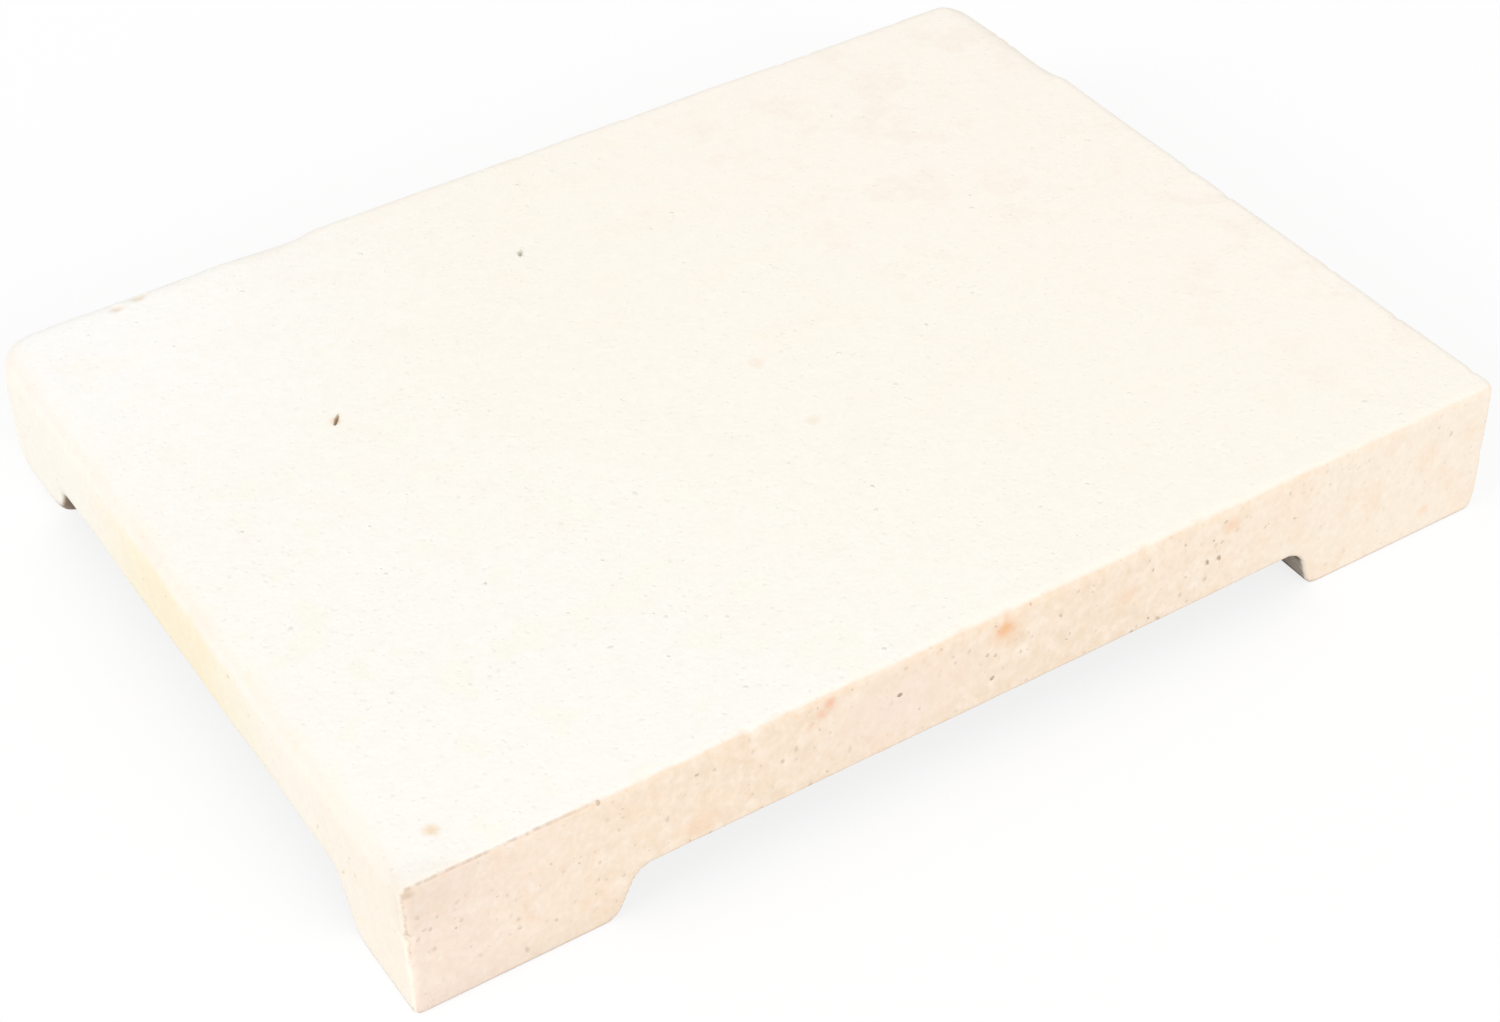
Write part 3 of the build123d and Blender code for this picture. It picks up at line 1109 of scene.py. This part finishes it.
def make_lamps(stage):
    """Large soft lamps that light the block at a plain level."""
    for name, azimuth, elevation, share in LAMPS:
        lamp = bpy.data.objects.new(name, bpy.data.lights.new(name, "AREA"))
        bpy.context.scene.collection.objects.link(lamp)
        lamp.data.size = stage.lamp_size
        lamp.data.energy = share * stage.lamp_level * (math.pi * stage.lamp_distance) ** 2
        way = direction(math.radians(azimuth), math.radians(elevation))
        lamp.location = way * stage.lamp_distance
        lamp.rotation_mode = "QUATERNION"
        lamp.rotation_quaternion = way.to_track_quat("Z", "Y")


def seen_directly(tree):
    """1 for a ray from the camera, a gloss or glass, and 0 for light that is thrown back and forth."""
    path = add_node(tree, "ShaderNodeLightPath").outputs
    seen = calculate("MAXIMUM", path["Is Camera Ray"], path["Is Glossy Ray"])
    return calculate("MAXIMUM", seen, path["Is Transmission Ray"])


def mix_shaders(share, first, second):
    """The first shader with a share of the second."""
    return add_node(first.id_data, "ShaderNodeMixShader", {0: share, 1: first, 2: second}).outputs[0]


def make_world(stage):
    """White all round, which lights the block at the ambient level."""
    world = bpy.data.worlds.new("studio")
    world.use_nodes = True
    tree = world.node_tree
    tree.nodes.clear()
    light = add_node(tree, "ShaderNodeBackground", {"Color": (1, 1, 1, 1), "Strength": stage.ambient})
    white = add_node(tree, "ShaderNodeBackground", {"Color": (1, 1, 1, 1), "Strength": 1.0})
    sky = mix_shaders(seen_directly(tree), light.outputs[0], white.outputs[0])
    add_node(tree, "ShaderNodeOutputWorld", {"Surface": sky})
    bpy.context.scene.world = world


def floor_material(stage):
    """A white floor that keeps the block's shadow, and that is clear from below."""
    material = bpy.data.materials.new("studio_floor")
    material.use_nodes = True
    tree = material.node_tree
    tree.nodes.clear()
    bounce = add_node(tree, "ShaderNodeBsdfDiffuse", {"Color": (*(stage.floor_bounce,) * 3, 1.0)})
    lit = add_node(tree, "ShaderNodeBsdfDiffuse", {"Color": (1, 1, 1, 1)})
    white = add_node(tree, "ShaderNodeEmission", {"Color": (1, 1, 1, 1), "Strength": 1.0})
    shown = mix_shaders(stage.shadow, white.outputs[0], lit.outputs[0])
    seen = seen_directly(tree)
    surface = mix_shaders(seen, bounce.outputs[0], shown)
    below = add_node(tree, "ShaderNodeNewGeometry").outputs["Backfacing"]
    clear = add_node(tree, "ShaderNodeBsdfTransparent")
    share = calculate("MULTIPLY", below, seen)
    result = mix_shaders(share, surface, clear.outputs[0])
    add_node(tree, "ShaderNodeOutputMaterial", {"Surface": result})
    return material


def make_floor(stage):
    """The floor that the block stands on."""
    mesh = bpy.data.meshes.new("studio_floor")
    plane = bmesh.new()
    bmesh.ops.create_grid(
        plane, x_segments=1, y_segments=1, size=stage.floor_size / 2,
        matrix=Matrix.Translation((0, 0, -stage.floor_gap)))
    plane.to_mesh(mesh)
    plane.free()
    mesh.materials.append(floor_material(stage))
    new_piece("studio_floor", mesh)


# Operators

def dress(piece, material):
    """Gives a finished piece its material and ties it to the block."""
    piece.data.materials.clear()
    piece.data.materials.append(material)
    piece.data.shade_smooth()
    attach(piece, BODY)


class SOLDERING_OT_fired_slab(bpy.types.Operator):
    """Makes the slab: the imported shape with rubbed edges, nicks and pits, in fired clay"""

    bl_idname = "soldering_block.fired_slab"
    bl_label = "Fired slab"

    def execute(self, context):
        slab = context.scene.soldering_slab
        draft = new_piece("worn_draft", worn_slab(slab))
        piece = new_piece("fired_slab", thinned(draft, slab.triangles))
        bpy.data.objects.remove(draft)
        dress(piece, clay_material(context.scene.soldering_clay))
        flatten_soles(piece.data)
        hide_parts(BLOCK)
        return {"FINISHED"}


class SOLDERING_OT_grains(bpy.types.Operator):
    """Scatters burnt grains over the slab, and seats the ones that stand out"""

    bl_idname = "soldering_block.grains"
    bl_label = "Burnt grains"

    def execute(self, context):
        slab_piece = bpy.data.objects["fired_slab"]
        sizes = context.scene.soldering_grains
        material = grain_material(context.scene.soldering_clay)
        dress(new_piece("scattered_grains", scattered_grains(slab_piece, sizes, material)), material)
        dress(new_piece("noted_grains", noted_grain_mesh(slab_piece, sizes.thickness)), material)
        return {"FINISHED"}


class SOLDERING_OT_stage(bpy.types.Operator):
    """Sets the camera, the floor and the light"""

    bl_idname = "soldering_block.stage"
    bl_label = "Stage"

    def execute(self, context):
        stage = context.scene.soldering_stage
        make_camera(stage)
        make_lamps(stage)
        make_world(stage)
        make_floor(stage)
        context.scene.view_settings.view_transform = "Standard"
        return {"FINISHED"}


class SOLDERING_PT_panel(bpy.types.Panel):
    """Lists the block's pieces and its stage"""

    bl_label = "Soldering block"
    bl_space_type = "VIEW_3D"
    bl_region_type = "UI"
    bl_category = "Soldering block"

    def draw(self, context):
        for operator in OPERATORS:
            self.layout.operator(operator.bl_idname)
        for name, group in SETTINGS.items():
            box = self.layout.box()
            for label in group.__annotations__:
                box.prop(getattr(context.scene, name), label)


SETTINGS = {
    "soldering_slab": SlabSizes,
    "soldering_grains": GrainSizes,
    "soldering_clay": ClayColours,
    "soldering_stage": StageSettings,
}
OPERATORS = (SOLDERING_OT_fired_slab, SOLDERING_OT_grains, SOLDERING_OT_stage)
CLASSES = (*SETTINGS.values(), *OPERATORS, SOLDERING_PT_panel)


def register():
    for group in CLASSES:
        bpy.utils.register_class(group)
    for name, group in SETTINGS.items():
        setattr(bpy.types.Scene, name, PointerProperty(type=group))


def unregister():
    for name in SETTINGS:
        delattr(bpy.types.Scene, name)
    for group in reversed(CLASSES):
        bpy.utils.unregister_class(group)


def main():
    register()
    bpy.ops.soldering_block.fired_slab()
    bpy.ops.soldering_block.grains()
    bpy.ops.soldering_block.stage()


if __name__ == "__main__":
    main()
